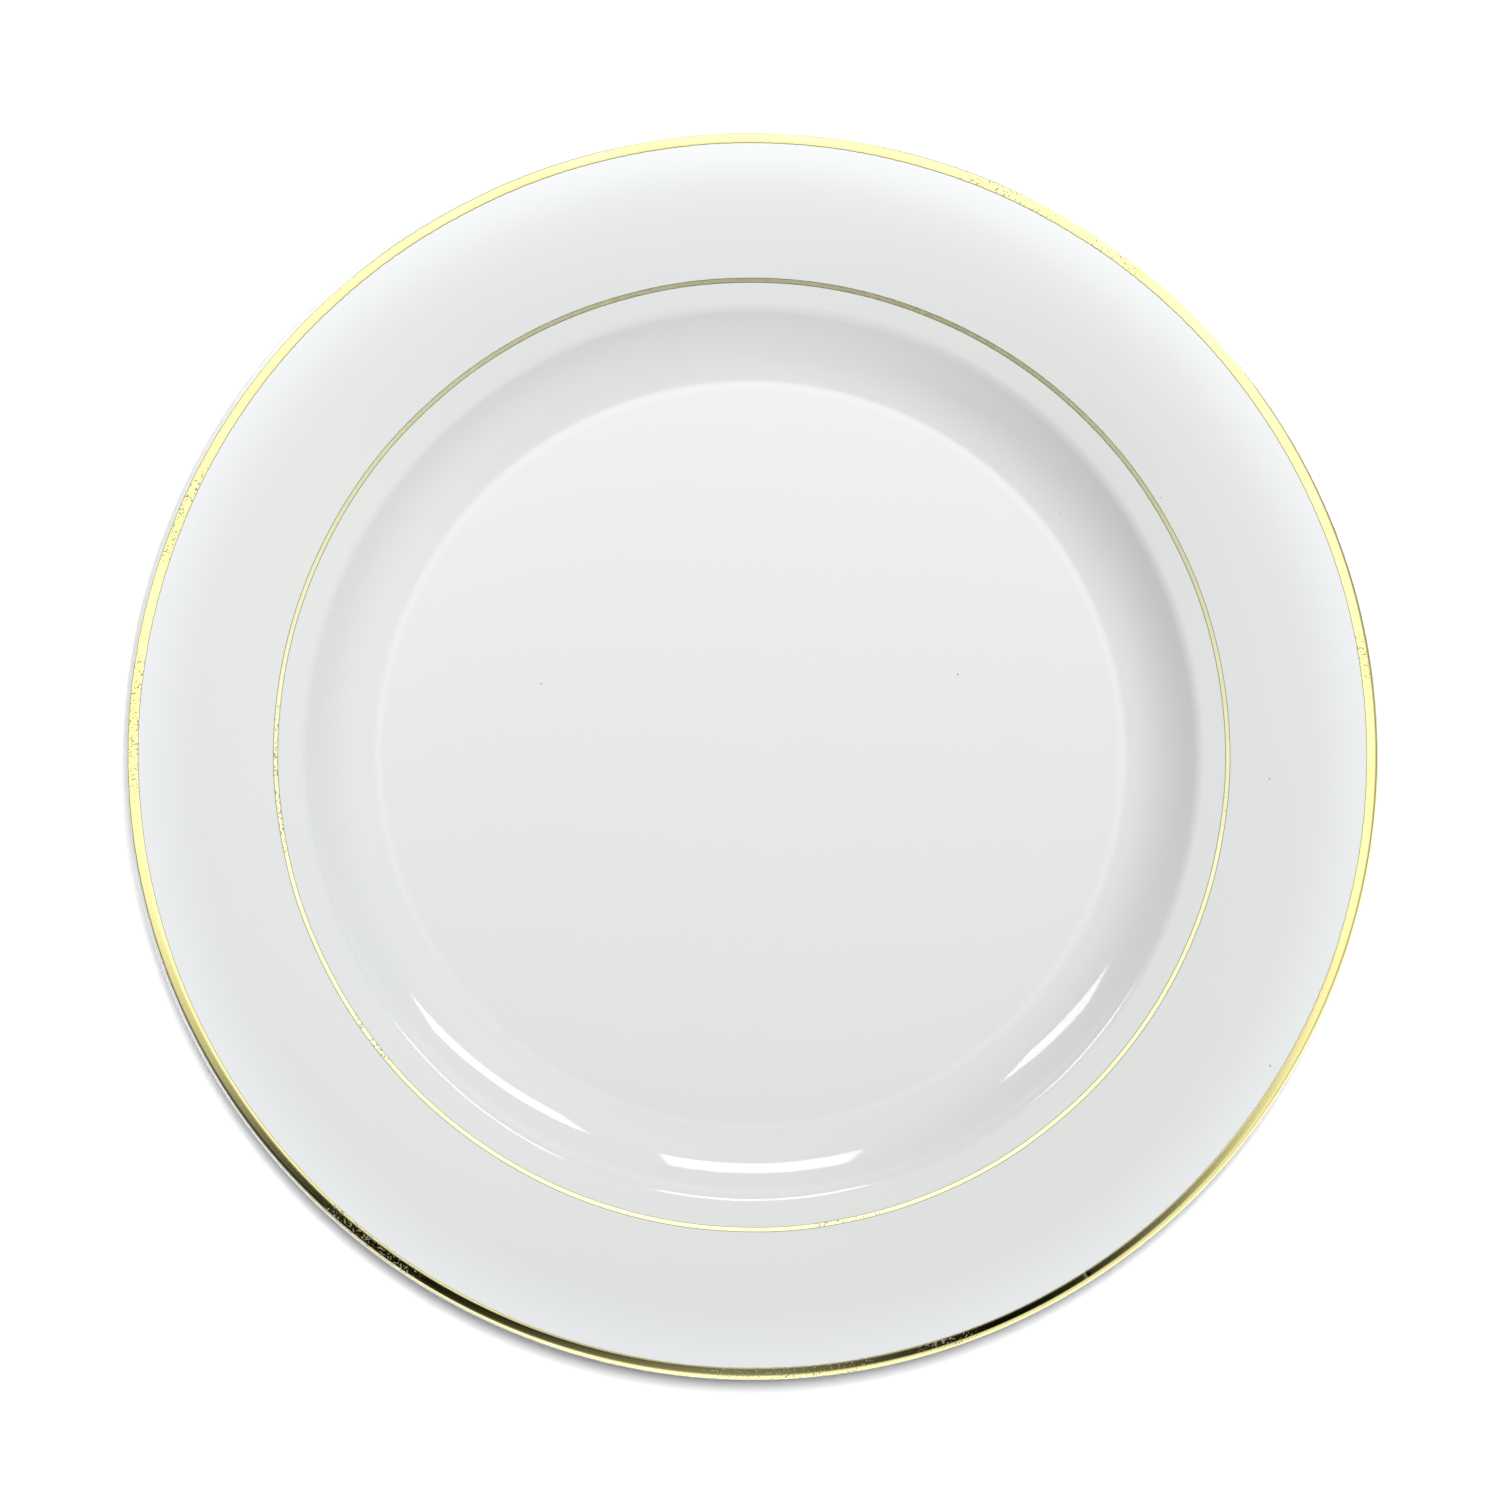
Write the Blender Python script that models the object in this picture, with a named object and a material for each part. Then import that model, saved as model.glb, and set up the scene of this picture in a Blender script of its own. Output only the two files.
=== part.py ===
"""A china dinner plate: a porcelain body, the glaze over it and the two rings of gold on the glaze.

The plate lies on its foot ring. The ring's standing face is at Z = 0 and the plate's axis is the Z axis.
Every piece is a turned shape, so each is drawn as an outline of (radius, height) points that a Screw
modifier turns about the axis. An outline runs from the middle of the top, over the rim and down the
outer side, to the middle of the underside.
"""

import math

import bpy
from mathutils import Vector

MM = 0.001

# The finished plate, measured over its glaze.
PLATE_RADIUS = 133.5 * MM
FLOOR_HEIGHT = 7.0 * MM  # the well's floor above the table
FLOOR_RADIUS = 80.6 * MM  # the flat part of the well's floor
SHOULDER_RADIUS = 96.0 * MM  # where the well's wall meets the rim
CREST_RADIUS = 116.0 * MM  # where the rim flattens towards its edge
FLOOR_EDGE_SLOPE = math.radians(9)  # the first rise of the wall off the floor
FLOOR_EDGE_LENGTH = 0.45 * MM  # how far that first rise runs before the wall curves up
WALL_SLOPE = math.radians(45)
INNER_RIM_SLOPE = math.radians(12.5)
OUTER_RIM_SLOPE = math.radians(3)

# The walls and the foot ring of the unglazed body.
WALL_THICKNESS = 2.8 * MM
BASE_THICKNESS = 3.0 * MM
LIP_THICKNESS = 2.3 * MM
FOOT_OUTER_RADIUS = 79.7 * MM
FOOT_INNER_RADIUS = 76.5 * MM
FOOT_DRAFT = 1.2 * MM  # how much each side of the ring spreads at its root

# The rounds of the unglazed body.
WALL_ROUND = 24.0 * MM
SHOULDER_ROUND = 2.4 * MM
LIP_TOP_ROUND = 1.3 * MM
LIP_BOTTOM_ROUND = 0.7 * MM
UNDER_SHOULDER_ROUND = 6.0 * MM
UNDER_WALL_ROUND = 15.0 * MM
FOOT_ROOT_ROUND = 0.9 * MM
FOOT_EDGE_ROUND = 0.4 * MM

# The layers over the body, made thicker than real glaze and gold so that each is a sound solid.
GLAZE_GAP = 0.25 * MM
GLAZE_THICKNESS = 0.3 * MM
GLAZE_STOP_HEIGHT = 1.1 * MM  # the foot ring is bare below this
GOLD_GAP = 0.15 * MM
GOLD_THICKNESS = 0.15 * MM
EDGE_BAND_RADII = (130.5 * MM, 132.4 * MM)
INNER_LINE_RADII = (100.8 * MM, 102.0 * MM)

# How finely the shapes are divided.
TURN_STEPS = 48
ROUND_TOLERANCE = 0.1 * MM  # how far a chord may stray from its round
WELD_DISTANCE = 0.01 * MM

# Each material's colour, roughness and metallic value.
BARE_PORCELAIN = ((0.84, 0.82, 0.78), 0.65, 0.0)
WHITE_GLAZE = ((0.80, 0.83, 0.83), 0.08, 0.0)
BRIGHT_GOLD = ((0.88, 0.74, 0.34), 0.22, 1.0)


def clear_scene():
    for obj in list(bpy.data.objects):
        bpy.data.objects.remove(obj, do_unlink=True)


def uphill(start, slope, radius):
    """The point at this radius on the line that leaves start at this slope."""
    return Vector((radius, start.y + (radius - start.x) * math.tan(slope)))


def below(corner, slope_before, slope_after):
    """The corner of the underside that keeps the wall's thickness under a corner of the top."""
    middle = (slope_before + slope_after) / 2
    reach = WALL_THICKNESS / math.cos((slope_after - slope_before) / 2)
    return corner + reach * Vector((math.sin(middle), -math.cos(middle)))


def body_corners():
    """The corners of the unglazed body in order, each with the radius of its round, or 0 if left sharp."""
    skin = GLAZE_GAP + GLAZE_THICKNESS
    floor = FLOOR_HEIGHT - skin
    base = floor - BASE_THICKNESS
    floor_edge = Vector((FLOOR_RADIUS, floor))
    reach = WALL_ROUND * math.tan((WALL_SLOPE - FLOOR_EDGE_SLOPE) / 2)
    wall_foot = uphill(floor_edge, FLOOR_EDGE_SLOPE, FLOOR_RADIUS + FLOOR_EDGE_LENGTH + reach)
    shoulder = uphill(wall_foot, WALL_SLOPE, SHOULDER_RADIUS)
    crest = uphill(shoulder, INNER_RIM_SLOPE, CREST_RADIUS)
    lip_top = uphill(crest, OUTER_RIM_SLOPE, PLATE_RADIUS - skin)
    under_floor = below(floor_edge, 0, FLOOR_EDGE_SLOPE)
    return (
        (Vector((0, floor)), 0),
        (floor_edge, 0),
        (wall_foot, WALL_ROUND),
        (shoulder, SHOULDER_ROUND),
        (crest, 0),
        (lip_top, LIP_TOP_ROUND),
        (lip_top - Vector((0, LIP_THICKNESS)), LIP_BOTTOM_ROUND),
        (below(crest, INNER_RIM_SLOPE, OUTER_RIM_SLOPE), 0),
        (below(shoulder, WALL_SLOPE, INNER_RIM_SLOPE), UNDER_SHOULDER_ROUND),
        (below(wall_foot, FLOOR_EDGE_SLOPE, WALL_SLOPE), UNDER_WALL_ROUND),
        (Vector((FOOT_OUTER_RADIUS + FOOT_DRAFT, under_floor.y)), FOOT_ROOT_ROUND),
        (Vector((FOOT_OUTER_RADIUS, 0)), FOOT_EDGE_ROUND),
        (Vector((FOOT_INNER_RADIUS, 0)), FOOT_EDGE_ROUND),
        (Vector((FOOT_INNER_RADIUS - FOOT_DRAFT, base)), FOOT_ROOT_ROUND),
        (Vector((0, base)), 0),
    )


def rounded(before, corner, after, radius):
    """Points along the arc of this radius that touches both sides of a corner."""
    back = (before - corner).normalized()
    ahead = (after - corner).normalized()
    turn = math.pi - back.angle(ahead)
    reach = radius * math.tan(turn / 2)
    centre = corner + (back + ahead).normalized() * math.hypot(radius, reach)
    spoke = corner + back * reach - centre
    direction = -math.copysign(1, back.cross(ahead))
    steps = max(2, math.ceil(turn / (2 * math.acos(1 - ROUND_TOLERANCE / radius))))
    points = []
    for i in range(steps + 1):
        angle = direction * turn * i / steps
        cosine = math.cos(angle)
        sine = math.sin(angle)
        turned = Vector((spoke.x * cosine - spoke.y * sine, spoke.x * sine + spoke.y * cosine))
        points.append(centre + turned)
    return points


def body_outline():
    corners = body_corners()
    outline = []
    for i, (corner, radius) in enumerate(corners):
        if radius:
            outline += rounded(corners[i - 1][0], corner, corners[i + 1][0], radius)
        else:
            outline.append(corner)
    return outline


def raised(outline, distance):
    """The outline moved out by a distance, with each side kept parallel to what it was."""
    moved = []
    last = len(outline) - 1
    for i, point in enumerate(outline):
        side_before = (outline[max(i, 1)] - outline[max(i, 1) - 1]).normalized()
        side_after = (outline[min(i, last - 1) + 1] - outline[min(i, last - 1)]).normalized()
        along = (side_before + side_after).normalized()
        reach = distance / along.dot(side_before)
        moved.append(point + reach * Vector((-along.y, along.x)))
    return moved


def down_to(outline, height):
    """The outline from its start to where it first comes down to a height."""
    kept = []
    for point, following in zip(outline, outline[1:]):
        kept.append(point)
        if following.y <= height:
            return kept + [point.lerp(following, (point.y - height) / (point.y - following.y))]
    return outline


def between_radii(outline, inner, outer):
    """The stretch of the top between two radii."""
    kept = []
    for point, following in zip(outline, outline[1:]):
        for radius in (inner, outer):
            if point.x < radius <= following.x:
                kept.append(point.lerp(following, (radius - point.x) / (following.x - point.x)))
        if following.x >= outer:
            return kept
        if following.x > inner:
            kept.append(following)
    return kept


def layer(outline, gap, thickness):
    """The outline of a layer that lies over an open outline."""
    return raised(outline, gap + thickness) + raised(outline, gap)[::-1]


def turned_solid(name, outline, material):
    """The solid inside a closed outline that is turned about Z. A side that lies on the axis makes no face."""
    on_axis = [point.x < WELD_DISTANCE for point in outline]
    edges = []
    for i in range(len(outline)):
        following = (i + 1) % len(outline)
        if not (on_axis[i] and on_axis[following]):
            edges.append((i, following))
    mesh = bpy.data.meshes.new(name)
    mesh.from_pydata([(point.x, 0, point.y) for point in outline], edges, [])
    mesh.materials.append(material)
    obj = bpy.data.objects.new(name, mesh)
    bpy.context.scene.collection.objects.link(obj)
    screw = obj.modifiers.new("Turn", "SCREW")
    screw.axis = "Z"
    screw.angle = math.tau
    screw.steps = TURN_STEPS
    screw.render_steps = TURN_STEPS
    screw.use_merge_vertices = True
    screw.merge_threshold = WELD_DISTANCE
    screw.use_smooth_shade = True
    return obj


def new_material(name, look):
    colour, roughness, metallic = look
    material = bpy.data.materials.new(name)
    material.use_nodes = True
    shader = material.node_tree.nodes["Principled BSDF"]
    shader.inputs["Base Color"].default_value = (*colour, 1)
    shader.inputs["Roughness"].default_value = roughness
    shader.inputs["Metallic"].default_value = metallic
    return material


def make_porcelain_body(outline):
    """The fired clay: base, well, rim and foot ring in one piece. It shows at the foot ring's standing face."""
    turned_solid("porcelain_body", outline, new_material("bare_porcelain", BARE_PORCELAIN))


def make_glaze_coat(outline):
    """The glaze over the well, the rim, the lip and the underside, down to the foot ring."""
    coated = down_to(outline, GLAZE_STOP_HEIGHT)
    coat = layer(coated, GLAZE_GAP, GLAZE_THICKNESS)
    turned_solid("glaze_coat", coat, new_material("glaze_coat", WHITE_GLAZE))


def make_glaze_base(outline):
    """The glaze on the base inside the foot ring."""
    coated = down_to(outline[::-1], GLAZE_STOP_HEIGHT)[::-1]
    base = layer(coated, GLAZE_GAP, GLAZE_THICKNESS)
    turned_solid("glaze_base", base, new_material("glaze_base", WHITE_GLAZE))


def make_gold_ring(name, glaze_outline, radii):
    """A ring of gold on top of the glaze, between two radii."""
    painted = between_radii(glaze_outline, *radii)
    ring = layer(painted, GOLD_GAP, GOLD_THICKNESS)
    turned_solid(name, ring, new_material(name, BRIGHT_GOLD))


def main():
    clear_scene()
    outline = body_outline()
    make_porcelain_body(outline)
    make_glaze_coat(outline)
    make_glaze_base(outline)
    glaze_outline = raised(outline, GLAZE_GAP + GLAZE_THICKNESS)
    make_gold_ring("gold_edge_band", glaze_outline, EDGE_BAND_RADII)
    make_gold_ring("gold_inner_line", glaze_outline, INNER_LINE_RADII)


main()
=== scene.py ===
"""The looks of a china dinner plate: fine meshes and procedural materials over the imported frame.

The plate lies on its foot ring at Z = 0 with its axis on Z. Outlines are (radius, height) points in
metres that run from the middle of the top, over the rim, to the middle of the underside.
"""

import math

import bpy
import numpy as np
from mathutils import Matrix, Quaternion, Vector


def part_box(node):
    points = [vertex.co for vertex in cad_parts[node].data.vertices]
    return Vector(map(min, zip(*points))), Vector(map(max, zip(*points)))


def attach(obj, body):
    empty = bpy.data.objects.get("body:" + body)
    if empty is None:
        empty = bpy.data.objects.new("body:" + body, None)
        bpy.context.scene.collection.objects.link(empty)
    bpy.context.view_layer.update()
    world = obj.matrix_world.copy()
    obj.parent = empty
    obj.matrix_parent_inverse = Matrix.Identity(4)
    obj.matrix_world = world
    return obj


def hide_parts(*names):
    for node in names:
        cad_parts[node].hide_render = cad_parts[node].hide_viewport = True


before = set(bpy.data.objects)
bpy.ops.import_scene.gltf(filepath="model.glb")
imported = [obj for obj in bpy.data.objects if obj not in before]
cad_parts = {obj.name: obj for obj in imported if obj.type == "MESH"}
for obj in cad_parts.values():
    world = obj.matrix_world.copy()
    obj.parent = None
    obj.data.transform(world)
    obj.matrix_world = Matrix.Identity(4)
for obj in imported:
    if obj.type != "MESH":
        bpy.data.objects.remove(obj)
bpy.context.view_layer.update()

MM = 0.001

# The finished plate, as the frame has it.
PLATE_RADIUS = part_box("glaze_coat")[1][0]
BODY_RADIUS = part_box("porcelain_body")[1][0]
SKIN = PLATE_RADIUS - BODY_RADIUS  # from the body's surface to the glaze's
FLOOR_HEIGHT = 7.0 * MM
FLOOR_RADIUS = 80.6 * MM
SHOULDER_RADIUS = 95.5 * MM
CREST_RADIUS = 116.0 * MM
FLOOR_EDGE_SLOPE = math.radians(9)
FLOOR_EDGE_LENGTH = 0.45 * MM
WALL_SLOPE = math.radians(47.5)
INNER_RIM_SLOPE = math.radians(12.5)
OUTER_RIM_SLOPE = math.radians(3)
BEVEL_RADIUS = 131.15 * MM  # the rim's edge eases down from here
BEVEL_SLOPE = math.radians(-10)
WALL_THICKNESS = 2.8 * MM
BASE_THICKNESS = 3.0 * MM
LIP_THICKNESS = 2.3 * MM
FOOT_OUTER_RADIUS = 79.7 * MM
FOOT_INNER_RADIUS = 76.5 * MM
FOOT_DRAFT = 1.2 * MM

# The rounds of the unglazed body. The rim's crest is a long, easy curve, and ends just before the
# bevel's round starts: rounds that overlap along a side would fold the outline back on itself.
FLOOR_EDGE_ROUND = 5.0 * MM
WALL_ROUND = 23.1 * MM
SHOULDER_ROUND = 4.0 * MM
CREST_ROUND = 175.0 * MM
BEVEL_ROUND = 3.0 * MM
LIP_TOP_ROUND = 0.8 * MM
LIP_BOTTOM_ROUND = 0.7 * MM
UNDER_SHOULDER_ROUND = 6.0 * MM
UNDER_WALL_ROUND = 15.0 * MM
FOOT_ROOT_ROUND = 0.9 * MM
FOOT_EDGE_ROUND = 0.4 * MM

# The layers on the body.
GLAZE_STOP_HEIGHT = 1.1 * MM
EDGE_BAND_RADII = (130.5 * MM, 132.95 * MM)
INNER_LINE_RADII = (100.85 * MM, 101.95 * MM)
EDGE_BAND_SHIFT = (0.25 * MM, -0.45 * MM)  # the band was laid on a little off centre
INNER_LINE_SHIFT = (0.1 * MM, -0.3 * MM)
GOLD_RISE = 0.03 * MM  # how far the gold stands off the glaze
# How many times as far off centre a ring's outer edge is as its inner edge.
EDGE_BAND_DRIFT = 1.8
INNER_LINE_DRIFT = 1.0
EDGE_BAND_RAGGEDNESS = 0.035 * MM
INNER_LINE_RAGGEDNESS = 0.018 * MM
SEAM_ANGLE = math.radians(302.5)  # where both rings of gold start and end
SEAM_WIDTH = math.radians(0.12)
SEAM_DEPTH = 0.9  # of the gold's thickness
SOFT_EDGE = 0.07 * MM
# The gold's edge in section: (share of the soft edge, share of the rise), from below the glaze.
SOFT_EDGE_RISE = ((0, -1.0), (0.15, 0.45), (0.5, 0.85), (1, 1.0))
FINE_WAVES = range(90, 700, 7)  # the cycles round a ring in its edges' raggedness
SLOW_WAVES = range(3, 30)
SLOW_WAVES_SHARE = 1.5

# Where the materials change. Each pair holds where a change starts and where it is complete.
BORDER_WIDTHS = (0.12 * MM, 0.22 * MM)  # from the gold's dull border to bright gold
# Painted light: the rim is painted whiter towards its edge, and the lip whiter again.
RIM_PAINTED_LIGHT_RADII = (117.0 * MM, 132.0 * MM)
LIP_PAINTED_LIGHT_RADII = (131.6 * MM, 132.4 * MM)
# Painted shade on the very edge:
EDGE_PAINTED_SHADE_RADII = (133.36 * MM, 133.45 * MM)
# Painted light on the well's floor, and a brighter painted ring at its edge:
WELL_FLOOR_PAINTED_LIGHT_RADII = (79.6 * MM, 81.2 * MM)
PAINTED_RING_LIGHT_WIDTH = 1.5 * MM
MARKED_FLOOR_MARGIN = 4 * MM

# How finely the meshes are cut.
ARC_STEP = math.radians(3)
TURN_STEPS = 384
GOLD_STEPS = 2160
GOLD_DIVISIONS = 14  # across a ring of gold
BODY_SIDE = 4 * MM
GLAZE_SIDE = 2.5 * MM
GOLD_TRACK_SIDE = 0.25 * MM
TUCK = 0.02 * MM  # the glaze's inner face stands this far off the body


# Outlines

def uphill(start, slope, radius):
    """The point at this radius on the line that leaves start at this slope."""
    return np.array((radius, start[1] + (radius - start[0]) * math.tan(slope)))


def below(corner, slope_before, slope_after):
    """The corner of the underside that keeps the wall's thickness under a corner of the top."""
    middle = (slope_before + slope_after) / 2
    reach = WALL_THICKNESS / math.cos((slope_after - slope_before) / 2)
    return corner + reach * np.array((math.sin(middle), -math.cos(middle)))


def body_corners():
    """The corners of the unglazed body in order, each with its round's radius, or 0 for none."""
    floor = FLOOR_HEIGHT - SKIN
    base = floor - BASE_THICKNESS
    floor_edge = np.array((FLOOR_RADIUS, floor))
    reach = WALL_ROUND * math.tan((WALL_SLOPE - FLOOR_EDGE_SLOPE) / 2)
    wall_foot = uphill(floor_edge, FLOOR_EDGE_SLOPE, FLOOR_RADIUS + FLOOR_EDGE_LENGTH + reach)
    shoulder = uphill(wall_foot, WALL_SLOPE, SHOULDER_RADIUS)
    crest = uphill(shoulder, INNER_RIM_SLOPE, CREST_RADIUS)
    bevel = uphill(crest, OUTER_RIM_SLOPE, BEVEL_RADIUS)
    lip_top = uphill(bevel, BEVEL_SLOPE, BODY_RADIUS)
    lip_bottom = uphill(crest, OUTER_RIM_SLOPE, BODY_RADIUS) - (0, LIP_THICKNESS)
    under_floor = below(floor_edge, 0, FLOOR_EDGE_SLOPE)
    return (
        (np.array((0, floor)), 0),
        (floor_edge, FLOOR_EDGE_ROUND),
        (wall_foot, WALL_ROUND),
        (shoulder, SHOULDER_ROUND),
        (crest, CREST_ROUND),
        (bevel, BEVEL_ROUND),
        (lip_top, LIP_TOP_ROUND),
        (lip_bottom, LIP_BOTTOM_ROUND),
        (below(crest, INNER_RIM_SLOPE, OUTER_RIM_SLOPE), CREST_ROUND / 2),
        (below(shoulder, WALL_SLOPE, INNER_RIM_SLOPE), UNDER_SHOULDER_ROUND),
        (below(wall_foot, FLOOR_EDGE_SLOPE, WALL_SLOPE), UNDER_WALL_ROUND),
        (np.array((FOOT_OUTER_RADIUS + FOOT_DRAFT, under_floor[1])), FOOT_ROOT_ROUND),
        (np.array((FOOT_OUTER_RADIUS, 0)), FOOT_EDGE_ROUND),
        (np.array((FOOT_INNER_RADIUS, 0)), FOOT_EDGE_ROUND),
        (np.array((FOOT_INNER_RADIUS - FOOT_DRAFT, base)), FOOT_ROOT_ROUND),
        (np.array((0, base)), 0),
    )


def unit(vector):
    return vector / np.linalg.norm(vector)


def rounded(before, corner, after, radius):
    """Points along the arc that touches both sides of a corner, at most ARC_STEP of turn apart."""
    back = unit(before - corner)
    ahead = unit(after - corner)
    turn = math.pi - math.acos(np.clip(back @ ahead, -1, 1))
    reach = radius * math.tan(turn / 2)
    centre = corner + unit(back + ahead) * math.hypot(radius, reach)
    spoke = corner + back * reach - centre
    direction = -math.copysign(1, back[0] * ahead[1] - back[1] * ahead[0])
    angles = direction * np.linspace(0, turn, max(3, math.ceil(turn / ARC_STEP) + 1))
    cosines, sines = np.cos(angles), np.sin(angles)
    return [
        centre + (spoke[0] * c - spoke[1] * s, spoke[0] * s + spoke[1] * c)
        for c, s in zip(cosines, sines)
    ]


def body_outline():
    corners = body_corners()
    outline = []
    for i, (corner, radius) in enumerate(corners):
        if radius:
            outline += rounded(corners[i - 1][0], corner, corners[i + 1][0], radius)
        else:
            outline.append(corner)
    return np.maximum(outline, 0)


def raised(outline, distance):
    """The outline moved out by a distance, with each side kept parallel to what it was."""
    sides = np.diff(outline, axis=0)
    sides /= np.linalg.norm(sides, axis=1, keepdims=True)
    before = np.vstack((sides[:1], sides))
    along = before + np.vstack((sides, sides[-1:]))
    along /= np.linalg.norm(along, axis=1, keepdims=True)
    reach = distance / (along * before).sum(axis=1, keepdims=True)
    return outline + reach * np.column_stack((-along[:, 1], along[:, 0]))


def down_to(outline, height):
    """The outline from its start to where it first comes down to a height."""
    last = int(np.argmax(outline[:, 1] <= height))
    upper, lower = outline[last - 1], outline[last]
    share = (upper[1] - height) / (upper[1] - lower[1])
    return np.vstack((outline[:last], upper + share * (lower - upper)))


def divided(outline, longest):
    """The outline with its long sides cut up, so that no side is longer than this."""
    points = [outline[0]]
    for a, b in zip(outline, outline[1:]):
        pieces = max(1, math.ceil(np.linalg.norm(b - a) / longest))
        points += [a + (b - a) * k / pieces for k in range(1, pieces + 1)]
    return np.array(points)


# Meshes

ON_AXIS = 1e-7
SHARP_TURN = math.radians(50)  # faces that meet at more than this keep a sharp edge between them
SHARP_GOLD = math.radians(60)
SHARP_FLOOR = math.radians(30)


def add_object(name, vertices, faces, material, sharp_angle):
    mesh = bpy.data.meshes.new(name)
    mesh.from_pydata(vertices, [], faces)
    mesh.validate()
    mesh.shade_smooth()
    mesh.set_sharp_from_angle(angle=sharp_angle)
    mesh.materials.append(material)
    obj = bpy.data.objects.new(name, mesh)
    bpy.context.scene.collection.objects.link(obj)
    return obj


def turned_solid(name, outline, material):
    """The solid that a closed outline makes when it is turned about Z.

    A point on the axis becomes one vertex.
    """
    vertices, rings = [], []
    angles = np.arange(TURN_STEPS) * math.tau / TURN_STEPS
    for radius, height in outline:
        if radius < ON_AXIS:
            rings.append([len(vertices)] * TURN_STEPS)
            vertices.append((0, 0, height))
        else:
            rings.append(list(range(len(vertices), len(vertices) + TURN_STEPS)))
            vertices += [(radius * math.cos(a), radius * math.sin(a), height) for a in angles]
    faces = []
    for ring, following in zip(rings, rings[1:] + rings[:1]):
        for i in range(TURN_STEPS):
            j = (i + 1) % TURN_STEPS
            corners = [ring[j], ring[i], following[i], following[j]]
            face = list(dict.fromkeys(corners))
            if len(face) > 2:
                faces.append(face)
    return add_object(name, vertices, faces, material, SHARP_TURN)


def waves(angles, seed, counts, size):
    """A smooth closed wander round the ring: a sum of waves with these whole numbers of cycles."""
    random = np.random.default_rng(seed)
    total = np.zeros_like(angles)
    for count in counts:
        strength, phase = random.normal(), random.uniform(0, math.tau)
        total += strength * np.sin(count * angles + phase)
    return size * total / math.sqrt(len(counts))


def gold_ring(name, glaze_outline, radii, shift, outer_drift, seed, raggedness, material):
    """A film of gold laid along the glaze between two radii, with uneven edges and a seam.

    Each cross-section starts under the glaze at the inner edge, climbs over a soft edge, runs along
    the glaze, and goes back under it at the outer edge. The attribute from_edge holds each vertex's
    distance along the glaze from the nearer edge.
    """
    side_lengths = np.linalg.norm(np.diff(glaze_outline, axis=0), axis=1)
    lengths = np.concatenate([[0], np.cumsum(side_lengths)])
    top = int(np.argmax(glaze_outline[:, 0])) + 1
    inner, outer = np.interp(radii, glaze_outline[:top, 0], lengths[:top])
    tangents = np.gradient(glaze_outline, lengths, axis=0)
    angles = np.arange(GOLD_STEPS) * math.tau / GOLD_STEPS
    drift = shift[0] * np.cos(angles) + shift[1] * np.sin(angles)
    inner_fine = waves(angles, seed, FINE_WAVES, raggedness)
    slow = waves(angles, seed + 1, SLOW_WAVES, raggedness * SLOW_WAVES_SHARE)
    outer_fine = waves(angles, seed + 2, FINE_WAVES, raggedness)
    low = inner + drift + inner_fine + slow
    high = outer + outer_drift * drift + outer_fine + slow
    off_seam = (angles - SEAM_ANGLE + math.pi) % math.tau - math.pi
    pinch = np.exp(-((off_seam / SEAM_WIDTH) ** 2))
    stations, from_edge = [], []
    section = [(0, inset, rise) for inset, rise in SOFT_EDGE_RISE]
    section += [(share, 0, 1.0) for share in np.linspace(0, 1, GOLD_DIVISIONS + 1)[1:-1]]
    section += [(1, -inset, rise) for inset, rise in reversed(SOFT_EDGE_RISE)]
    for share, inset, rise in section:
        along = low + share * (high - low) + inset * SOFT_EDGE
        radius = np.interp(along, lengths, glaze_outline[:, 0])
        height = np.interp(along, lengths, glaze_outline[:, 1])
        slope_r = np.interp(along, lengths, tangents[:, 0])
        slope_z = np.interp(along, lengths, tangents[:, 1])
        lift = rise * GOLD_RISE * (1 - SEAM_DEPTH * pinch * (rise > 0))
        radius = radius - slope_z * lift
        height = height + slope_r * lift
        stations.append(np.column_stack((radius * np.cos(angles), radius * np.sin(angles), height)))
        from_edge.append(np.minimum(along - low, high - along))
    vertices = np.concatenate(stations)
    faces = []
    for k in range(len(stations)):
        this, following = k * GOLD_STEPS, (k + 1) % len(stations) * GOLD_STEPS
        for i in range(GOLD_STEPS):
            j = (i + 1) % GOLD_STEPS
            faces.append((this + j, this + i, following + i, following + j))
    ring = add_object(name, vertices.tolist(), faces, material, SHARP_GOLD)
    distances = ring.data.attributes.new("from_edge", "FLOAT", "POINT")
    distances.data.foreach_set("value", np.concatenate(from_edge))
    return ring


# Materials

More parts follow.
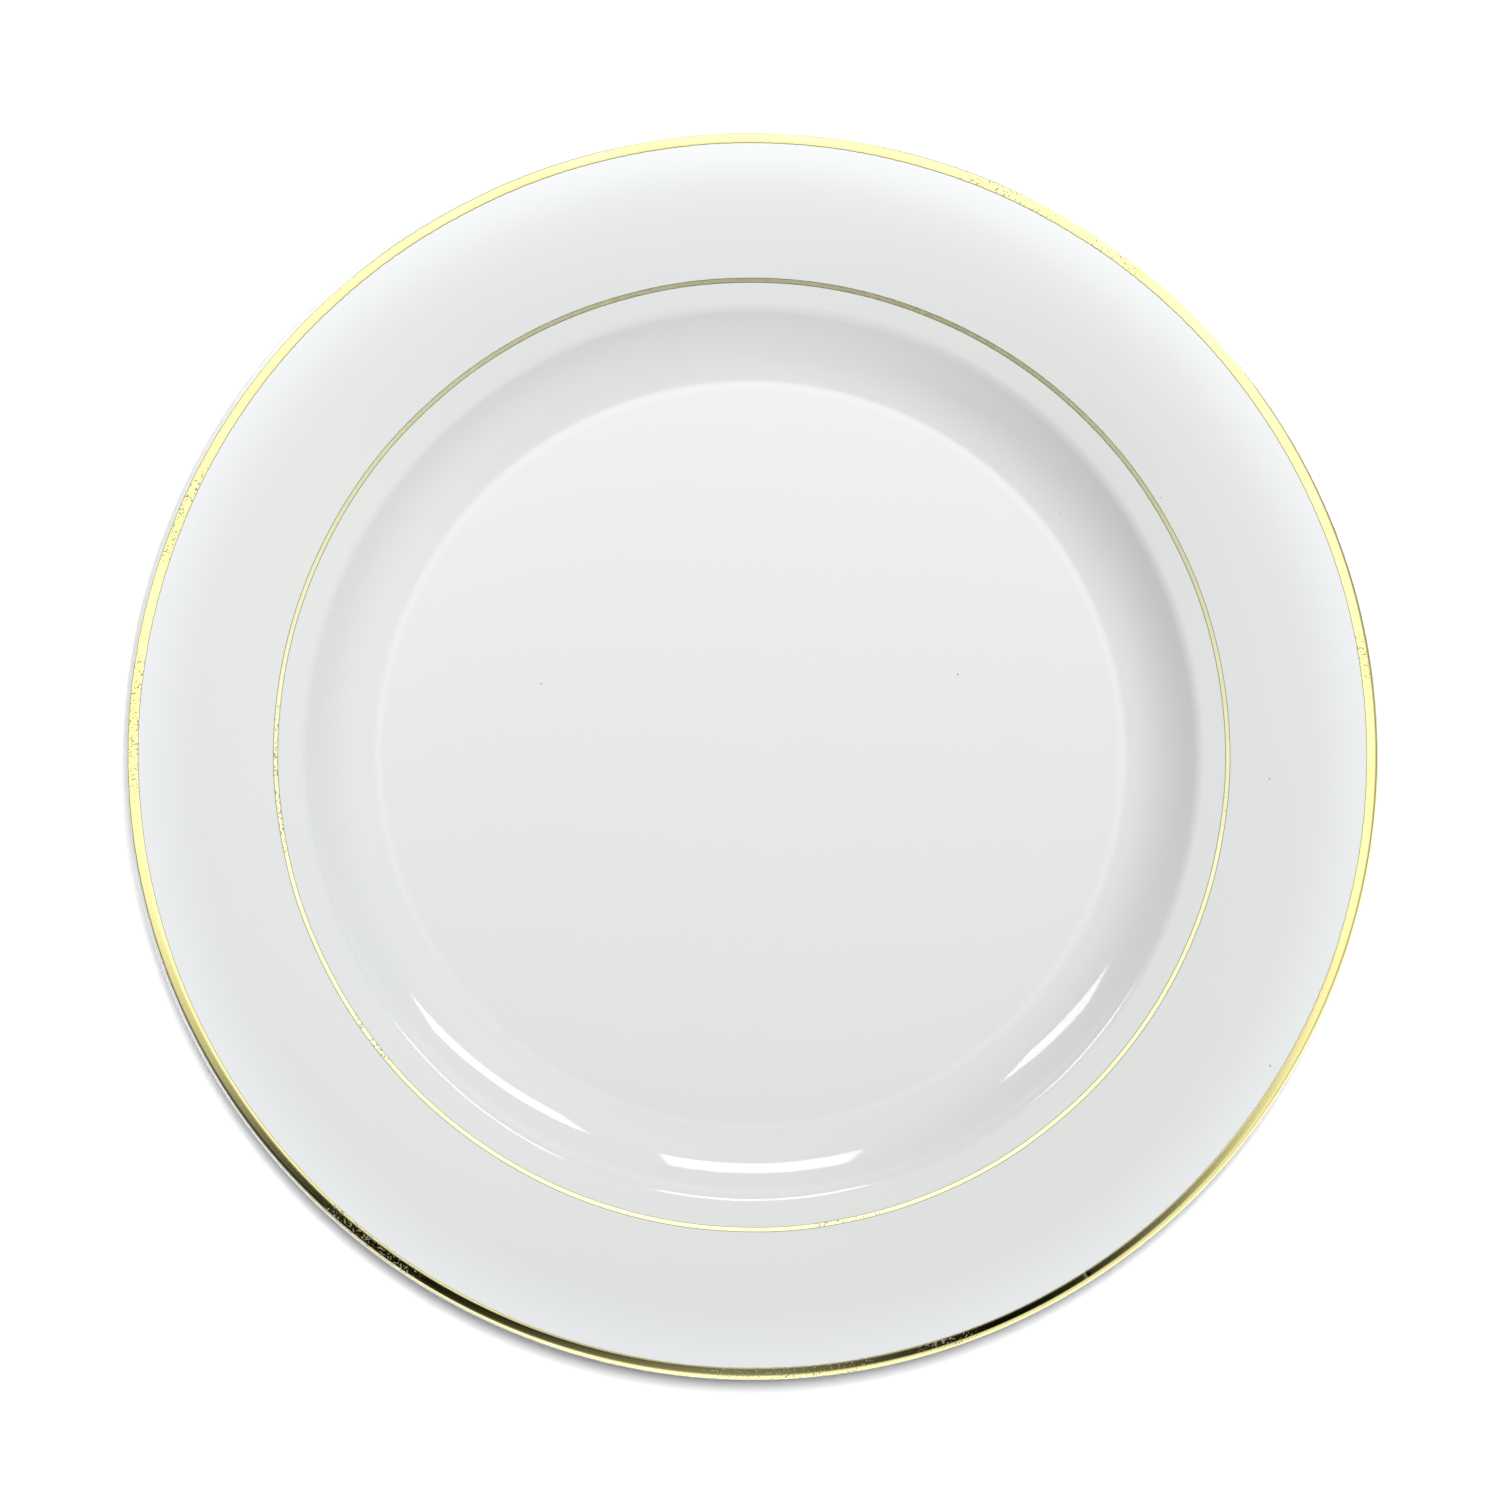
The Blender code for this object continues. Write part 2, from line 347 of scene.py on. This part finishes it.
class Nodes:
    """A short way to write a node tree: each method adds a node and returns its output.

    In add, an input is given by its name, with _ for a space, or by its number after a _.
    """

    def __init__(self, tree):
        self.tree = tree

    def add(self, kind, output=0, settings=None, **inputs):
        node = self.tree.nodes.new(kind)
        for key, value in (settings or {}).items():
            setattr(node, key, value)
        for key, value in inputs.items():
            place = int(key[1:]) if key[0] == "_" else key.replace("_", " ")
            socket = node.inputs[place]
            if isinstance(value, bpy.types.NodeSocket):
                self.tree.links.new(value, socket)
            else:
                socket.default_value = value
        return node.outputs[output]

    def position(self):
        return self.add("ShaderNodeTexCoord", "Object")

    def noise(self, vector, scale, detail=2.0, roughness=0.5):
        return self.add(
            "ShaderNodeTexNoise", 0, Vector=vector, Scale=scale, Detail=detail, Roughness=roughness
        )

    def ramp(self, value, low, high, to_low=0.0, to_high=1.0):
        return self.add(
            "ShaderNodeMapRange",
            0,
            {"interpolation_type": "SMOOTHSTEP"},
            Value=value, From_Min=low, From_Max=high, To_Min=to_low, To_Max=to_high,
        )

    def maths(self, operation, a, b=0.0):
        return self.add("ShaderNodeMath", 0, {"operation": operation}, _0=a, _1=b)

    def mix(self, share, a, b):
        return self.add("ShaderNodeMix", 2, {"data_type": "RGBA"}, _0=share, _6=a, _7=b)

    def radius(self, vector):
        """The distance from the Z axis."""
        flat = self.add(
            "ShaderNodeVectorMath", 0, {"operation": "MULTIPLY"}, _0=vector, _1=(1, 1, 0)
        )
        return self.add("ShaderNodeVectorMath", "Value", {"operation": "LENGTH"}, _0=flat)

    def bump(self, height, distance, strength=1.0, normal=None):
        extra = {"Normal": normal} if normal is not None else {}
        return self.add(
            "ShaderNodeBump", 0, Height=height, Distance=distance, Strength=strength, **extra
        )


def principled(name, ior=1.5):
    """A material with only a Principled shader. Returns it, its Nodes and its shader."""
    material = bpy.data.materials.new(name)
    material.use_nodes = True
    tree = material.node_tree
    tree.nodes.clear()
    shader = tree.nodes.new("ShaderNodeBsdfPrincipled")
    output = tree.nodes.new("ShaderNodeOutputMaterial")
    tree.links.new(shader.outputs[0], output.inputs["Surface"])
    shader.inputs["IOR"].default_value = ior
    return material, Nodes(tree), shader


def link(nodes, shader, **sockets):
    for key, value in sockets.items():
        nodes.tree.links.new(value, shader.inputs[key.replace("_", " ")])


def grey(value):
    return (value, value, value, 1)


GLAZE_TINTS = ((0.785, 0.800, 0.800, 1), (0.800, 0.808, 0.798, 1))
# Painted light, whiter towards the rim's edge and on the lip:
RIM_PAINTED_LIGHT = (0.880, 0.893, 0.905, 1)
LIP_PAINTED_LIGHT = (0.90, 0.905, 0.91, 1)
# Painted shade, grey on the very edge:
EDGE_PAINTED_SHADE = (0.55, 0.56, 0.60, 1)
# Painted light on the well's floor:
WELL_FLOOR_PAINTED_LIGHT = (0.85, 0.862, 0.862, 1)
WELL_FLOOR_PAINTED_LIGHT_SHARES = (0.45, 0.55)  # how much of that white the floor takes, and its edge takes besides
SPECK_COLOUR = (0.16, 0.15, 0.14, 1)
SPECK_STRENGTH = 0.55
SPECK_CELLS = 45.0  # to the metre
SPECKLESS_SHARE = 0.93  # of the cells
SPECK_RADII = (0.004, 0.011)  # as shares of a cell
KNIFE_ANGLE = 0.35
KNIFE_SCALE = (14, 900, 1)
KNIFE_ROUGHNESS = 0.2
GLAZE_ROUGHNESS = (0.045, 0.085)


def glaze_colour(nodes, place):
    """The glaze's white: a cool tint that drifts a little, with painted light and shade laid on by
    radius.
    """
    radius = nodes.radius(place)
    drift = nodes.noise(place, 9.0, 3.0)
    colour = nodes.mix(nodes.ramp(drift, 0.3, 0.7), *GLAZE_TINTS)
    # Painted light: the glaze is painted whiter towards the edge of the rim, and whiter again on
    # the lip beside the gold.
    colour = nodes.mix(nodes.ramp(radius, *RIM_PAINTED_LIGHT_RADII), colour, RIM_PAINTED_LIGHT)
    colour = nodes.mix(nodes.ramp(radius, *LIP_PAINTED_LIGHT_RADII), colour, LIP_PAINTED_LIGHT)
    # Painted shade: the very edge is painted grey, a dark outline where it turns away from the
    # light.
    colour = nodes.mix(nodes.ramp(radius, *EDGE_PAINTED_SHADE_RADII), colour, EDGE_PAINTED_SHADE)
    # Painted light: the floor is painted slightly whiter, and whitest in a ring of painted light at
    # the floor's edge.
    floor_share, ring_share = WELL_FLOOR_PAINTED_LIGHT_SHARES
    painted_floor_light = nodes.ramp(radius, *WELL_FLOOR_PAINTED_LIGHT_RADII, floor_share, 0)
    ring = nodes.maths(
        "MULTIPLY",
        nodes.ramp(radius, WELL_FLOOR_PAINTED_LIGHT_RADII[0] - PAINTED_RING_LIGHT_WIDTH, WELL_FLOOR_PAINTED_LIGHT_RADII[0]),
        nodes.ramp(radius, *WELL_FLOOR_PAINTED_LIGHT_RADII, ring_share, 0),
    )
    return nodes.mix(nodes.maths("ADD", painted_floor_light, ring), colour, WELL_FLOOR_PAINTED_LIGHT)


def glaze_specks(nodes, place):
    """1 in a dark speck and 0 elsewhere. A few of the cells in plan hold a speck each."""
    cells = nodes.tree.nodes.new("ShaderNodeTexVoronoi")
    cells.voronoi_dimensions = "2D"
    nodes.tree.links.new(place, cells.inputs["Vector"])
    cells.inputs["Scale"].default_value = SPECK_CELLS
    first_draw = nodes.add("ShaderNodeSeparateColor", 0, Color=cells.outputs["Color"])
    second_draw = nodes.add("ShaderNodeSeparateColor", 1, Color=cells.outputs["Color"])
    chosen = nodes.maths("GREATER_THAN", first_draw, SPECKLESS_SHARE)
    size = nodes.ramp(second_draw, 0, 1, *SPECK_RADII)
    inside = nodes.maths("LESS_THAN", cells.outputs["Distance"], size)
    return nodes.maths("MULTIPLY", inside, chosen)


def knife_marks(nodes, place):
    """1 in a knife mark: long thin threads of noise, broken up, on the flat floor only."""
    turned = nodes.add(
        "ShaderNodeMapping", 0, Vector=place, Rotation=(0, 0, KNIFE_ANGLE), Scale=KNIFE_SCALE
    )
    threads = nodes.ramp(nodes.noise(turned, 1.0, 1.0), 0.70, 0.74)
    breaks = nodes.ramp(nodes.noise(place, 55.0, 1.0), 0.55, 0.68)
    on_floor = nodes.ramp(
        nodes.radius(place), FLOOR_RADIUS - MARKED_FLOOR_MARGIN, FLOOR_RADIUS, 1, 0
    )
    return nodes.maths("MULTIPLY", nodes.maths("MULTIPLY", threads, breaks), on_floor)


def glaze_material():
    """White glaze: glossy, with dark specks, faint knife marks, a slow ripple and a fine peel."""
    material, nodes, shader = principled("white_glaze", ior=1.52)
    place = nodes.position()
    speck = nodes.maths("MULTIPLY", glaze_specks(nodes, place), SPECK_STRENGTH)
    colour = nodes.mix(speck, glaze_colour(nodes, place), SPECK_COLOUR)
    marks = knife_marks(nodes, place)
    smear = nodes.noise(place, 30.0, 4.0, 0.6)
    roughness = nodes.maths(
        "ADD",
        nodes.ramp(smear, 0.35, 0.75, *GLAZE_ROUGHNESS),
        nodes.maths("MULTIPLY", marks, KNIFE_ROUGHNESS),
    )
    ripple = nodes.bump(nodes.noise(place, 14.0, 2.0), 0.00012, 0.25)
    peel = nodes.bump(nodes.noise(place, 260.0, 2.0), 0.000004, 0.3, ripple)
    scored = nodes.bump(nodes.maths("SUBTRACT", 0.0, marks), 0.000006, 0.5, peel)
    link(nodes, shader, Base_Color=colour, Roughness=roughness, Normal=scored)
    return material


CLAY_TONES = ((0.70, 0.68, 0.63, 1), (0.80, 0.785, 0.745, 1))
WORN_CLAY = (0.45, 0.43, 0.40, 1)
WORN_STRENGTH = 0.35


def porcelain_material():
    """Bare fired clay on the foot ring: chalky, with a fine grain and grey wear."""
    material, nodes, shader = principled("bare_porcelain", ior=1.45)
    place = nodes.position()
    grain = nodes.noise(place, 1800.0, 4.0, 0.7)
    worn = nodes.ramp(nodes.noise(place, 120.0, 5.0, 0.65), 0.5, 0.75)
    clay = nodes.mix(grain, *CLAY_TONES)
    colour = nodes.mix(nodes.maths("MULTIPLY", worn, WORN_STRENGTH), clay, WORN_CLAY)
    roughness = nodes.ramp(grain, 0.3, 0.7, 0.55, 0.8)
    link(
        nodes, shader, Base_Color=colour, Roughness=roughness,
        Normal=nodes.bump(grain, 0.00004, 0.6),
    )
    return material


EDGE_BAND_TONES = ((0.96, 0.88, 0.41, 1), (0.92, 0.83, 0.36, 1))
INNER_LINE_TONES = ((0.95, 0.92, 0.59, 1), (0.91, 0.88, 0.54, 1))
EDGE_BAND_ROUGHNESS = (0.04, 0.09)
INNER_LINE_ROUGHNESS = (0.32, 0.42)
TARNISH = (0.45, 0.38, 0.14, 1)
TARNISH_STRENGTH = 0.35
GOLD_BORDER = (0.34, 0.33, 0.19, 1)
PITTED_GOLD = (0.36, 0.35, 0.24, 1)
PITTED_METALLIC = 0.1


def gold_material(name, offset, tones, roughnesses):
    """Bright gold film in two close tones, with tarnish, a dull border and patches of fine pits.

    The offset, in metres, gives each ring its own part of the noise.
    """
    material, nodes, shader = principled(name)
    place = nodes.add(
        "ShaderNodeVectorMath", 0, {"operation": "ADD"}, _0=nodes.position(), _1=(offset, 0, 0)
    )
    drift = nodes.noise(place, 60.0, 3.0)
    grain = nodes.noise(place, 1500.0, 3.0, 0.6)
    gold = nodes.mix(nodes.ramp(drift, 0.3, 0.7), *tones)
    gold = nodes.mix(nodes.ramp(grain, 0.62, 0.78, 0, TARNISH_STRENGTH), gold, TARNISH)
    patchy = nodes.ramp(nodes.noise(place, 28.0, 1.0), 0.56, 0.64)
    pits = nodes.ramp(nodes.noise(place, 2200.0, 1.0), 0.58, 0.63)
    holes = nodes.maths("MULTIPLY", patchy, pits)
    # The film thins to a dull, darker border.
    distance = nodes.add("ShaderNodeAttribute", "Fac", {"attribute_name": "from_edge"})
    border = nodes.ramp(distance, *BORDER_WIDTHS, 1, 0)
    gold = nodes.mix(border, gold, GOLD_BORDER)
    colour = nodes.mix(holes, gold, PITTED_GOLD)
    link(
        nodes, shader,
        Base_Color=colour,
        Metallic=nodes.ramp(holes, 0, 1, 1, PITTED_METALLIC),
        Roughness=nodes.ramp(grain, 0.3, 0.75, *roughnesses),
        Normal=nodes.bump(grain, 0.000012, 0.35),
    )
    return material


# The plate

def make_plate():
    outline = body_outline()
    glaze = glaze_material()

    body = turned_solid("fired_body", divided(outline, BODY_SIDE), porcelain_material())
    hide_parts("porcelain_body")

    over = down_to(outline, GLAZE_STOP_HEIGHT)
    shell = np.vstack((divided(raised(over, SKIN), GLAZE_SIDE), raised(over, TUCK)[::-1]))
    coat = turned_solid("top_glaze", shell, glaze)
    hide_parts("glaze_coat")

    inside = down_to(outline[::-1], GLAZE_STOP_HEIGHT)[::-1]
    shell = np.vstack((raised(inside, SKIN), raised(inside, TUCK)[::-1]))
    under_glaze = turned_solid("base_glaze", divided(shell, BODY_SIDE), glaze)
    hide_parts("glaze_base")

    track = divided(raised(outline, SKIN), GOLD_TRACK_SIDE)
    band = gold_ring(
        "edge_gold", track, EDGE_BAND_RADII, EDGE_BAND_SHIFT, EDGE_BAND_DRIFT,
        seed=11, raggedness=EDGE_BAND_RAGGEDNESS,
        material=gold_material("edge_gold", 0.0, EDGE_BAND_TONES, EDGE_BAND_ROUGHNESS),
    )
    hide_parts("gold_edge_band")
    line = gold_ring(
        "line_gold", track, INNER_LINE_RADII, INNER_LINE_SHIFT, INNER_LINE_DRIFT,
        seed=23, raggedness=INNER_LINE_RAGGEDNESS,
        material=gold_material("line_gold", 3.0, INNER_LINE_TONES, INNER_LINE_ROUGHNESS),
    )
    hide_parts("gold_inner_line")
    for piece in (body, coat, under_glaze, band, line):
        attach(piece, "root")


# The stage

STAGE_GREYS = (0.47, 0.50)
STAGE_HALF_WIDTH = 4.0


def floor_material():
    material, nodes, shader = principled("pale_floor")
    place = nodes.position()
    tone = nodes.mix(nodes.noise(place, 6.0, 3.0), *map(grey, STAGE_GREYS))
    texture = nodes.bump(nodes.noise(place, 900.0, 2.0), 0.00002, 0.3)
    link(nodes, shader, Base_Color=tone, Normal=texture)
    shader.inputs["Roughness"].default_value = 0.8
    shader.inputs["Specular IOR Level"].default_value = 0.1
    return material


def make_floor():
    half = STAGE_HALF_WIDTH
    corners = [(-half, -half, 0), (half, -half, 0), (half, half, 0), (-half, half, 0)]
    floor = add_object("floor", corners, [(0, 1, 2, 3)], floor_material(), SHARP_FLOOR)
    return floor


def direction(azimuth, elevation):
    """A unit vector. Azimuth is counter-clockwise from +X, seen from above; both are in degrees."""
    a, e = math.radians(azimuth), math.radians(elevation)
    return Vector((math.cos(a) * math.cos(e), math.sin(a) * math.cos(e), math.sin(e)))


# The surroundings' light as soft lobes: (azimuth, elevation, sharpness, strength).
SKY_LOBES = (
    (265, 12, 8, 1.25),
    (258, 40, 12, 0.35),
    (240, 14, 12, 0.6),
    (315, 8, 8, 0.4),
    (315, 35, 8, 0.55),
    (0, 35, 8, 0.2),
    (45, 35, 8, 0.2),
    (90, 35, 8, 0.5),
    (0, 62, 8, 0.65),
    (45, 62, 8, 0.45),
    (90, 62, 8, 0.6),
    (135, 62, 8, 0.28),
    (180, 68, 12, 0.80),
    (90, 80, 60, 0.2),
)
HORIZON_GLOW = 0.4
HORIZON_SHARPNESS = 6.0
SKY_LEVEL = 1.058
SKY_COLOUR = (0.99, 1.0, 0.995, 1)

# Dark things that stand among the lights, on both sides of the camera, as lobes of the same kind
# that take light away. Only the gold shows them clearly.
DARK_LOBES = (
    (222, 38, 45, 1.0),
    (234, 40, 45, 1.0),
    (224, 54, 50, 1.0),
    (234, 60, 55, 1.0),
    (230, 71, 70, 1.0),
    (243, 77, 100, 1.0),
    (308, 74, 80, 1.0),
    (304, 68, 120, 1.0),
    (300, 62, 80, 1.0),
)


def make_sky():
    world = bpy.data.worlds.new("studio")
    bpy.context.scene.world = world
    world.use_nodes = True
    tree = world.node_tree
    tree.nodes.clear()
    nodes = Nodes(tree)
    facing = nodes.add("ShaderNodeTexCoord", "Generated")

    def lobe(azimuth, elevation, sharpness, strength):
        aimed = nodes.add(
            "ShaderNodeVectorMath", "Value", {"operation": "DOT_PRODUCT"},
            _0=facing, _1=direction(azimuth, elevation),
        )
        power = nodes.maths("POWER", nodes.maths("MAXIMUM", aimed, 0.0), sharpness)
        return nodes.maths("MULTIPLY", power, strength)

    height = nodes.add("ShaderNodeSeparateXYZ", "Z", Vector=facing)
    lowness = nodes.maths("SUBTRACT", 1.0, nodes.maths("ABSOLUTE", height))
    total = nodes.maths("MULTIPLY", nodes.maths("POWER", lowness, HORIZON_SHARPNESS), HORIZON_GLOW)
    for sky_lobe in SKY_LOBES:
        total = nodes.maths("ADD", total, lobe(*sky_lobe))
    total = nodes.maths("MULTIPLY", total, SKY_LEVEL)
    for dark_lobe in DARK_LOBES:
        total = nodes.maths("MULTIPLY", total, nodes.maths("SUBTRACT", 1.0, lobe(*dark_lobe)))
    background = nodes.add("ShaderNodeBackground", 0, Color=SKY_COLOUR, Strength=total)
    output = tree.nodes.new("ShaderNodeOutputWorld")
    tree.links.new(background, output.inputs["Surface"])


def area_light(name, target, azimuth, elevation, roll, distance, size, radiance):
    """A softbox that faces a point and that the camera can't see. Its radiance is its face's."""
    width, height = size
    data = bpy.data.lights.new(name, "AREA")
    data.shape = "RECTANGLE"
    data.size = width
    data.size_y = height
    data.energy = radiance * math.pi * width * height
    light = bpy.data.objects.new(name, data)
    towards = direction(azimuth, elevation)
    light.location = Vector(target) + towards * distance
    light.rotation_mode = "QUATERNION"
    turn = Quaternion((0, 0, 1), math.radians(roll))
    light.rotation_quaternion = towards.to_track_quat("Z", "Y") @ turn
    light.visible_camera = False
    bpy.context.scene.collection.objects.link(light)
    return light


# The softboxes that the well's wall mirrors: (name, angle round the plate of the place that mirrors
# it, azimuth, elevation, roll, size, radiance).
SOFTBOXES = (
    ("right_softbox", 231, 52.5, 30.5, 30, (0.205, 0.082), 7.0),
    ("middle_softbox", 270, 89, 30, 0, (0.18, 0.122), 7.0),
    ("left_softbox", 318, 133, 34, -33, (0.14, 0.078), 7.0),
)
SOFTBOX_DISTANCE = 0.6
MIRROR_RADIUS = 88.9 * MM  # of those places on the wall
MIRROR_HEIGHT = 9 * MM

# The light that only the floor takes, a little behind the plate so that the shadow falls in front.
FLOOR_LIGHT_ELEVATION = 86
FLOOR_LIGHT_DISTANCE = 4.0
FLOOR_LIGHT_SIZE = (0.9, 0.9)
FLOOR_LIGHT_RADIANCE = 142.0


def make_lights(floor):
    for name, place, azimuth, elevation, roll, size, radiance in SOFTBOXES:
        a = math.radians(place)
        target = (MIRROR_RADIUS * math.cos(a), MIRROR_RADIUS * math.sin(a), MIRROR_HEIGHT)
        area_light(name, target, azimuth, elevation, roll, SOFTBOX_DISTANCE, size, radiance)
    over = area_light(
        "floor_light", (0, 0, 0), 90, FLOOR_LIGHT_ELEVATION, 0, FLOOR_LIGHT_DISTANCE,
        FLOOR_LIGHT_SIZE, FLOOR_LIGHT_RADIANCE,
    )
    lit = bpy.data.collections.new("lit_by_floor_light")
    lit.objects.link(floor)
    over.light_linking.receiver_collection = lit


CAMERA_DISTANCE = 1.9
CAMERA_AIM = (-0.0006, -0.00015, 0.0225)
CAMERA_BACK = (-0.03, -0.08, 1.0)  # from what it aims at towards the camera
SENSOR_WIDTH = 36
PLATE_SHARE = 0.83867  # of the picture's width that the plate takes


def make_camera():
    """The camera is almost over the plate, a little towards -Y and -X, with +Y up in its view."""
    data = bpy.data.cameras.new("camera")
    camera = bpy.data.objects.new("camera", data)
    bpy.context.scene.collection.objects.link(camera)
    back = Vector(CAMERA_BACK).normalized()
    camera.location = Vector(CAMERA_AIM) + back * CAMERA_DISTANCE
    right = Vector((0, 1, 0)).cross(back).normalized()
    up = back.cross(right)
    camera.rotation_mode = "QUATERNION"
    camera.rotation_quaternion = Matrix((right, up, back)).transposed().to_quaternion()
    seen_width = 2 * PLATE_RADIUS / PLATE_SHARE
    data.sensor_width = SENSOR_WIDTH
    data.lens = SENSOR_WIDTH * CAMERA_DISTANCE / seen_width
    data.clip_start = 0.05
    data.clip_end = 50
    bpy.context.scene.camera = camera


make_plate()
floor = make_floor()
make_sky()
make_lights(floor)
make_camera()
bpy.context.scene.view_settings.view_transform = "Standard"
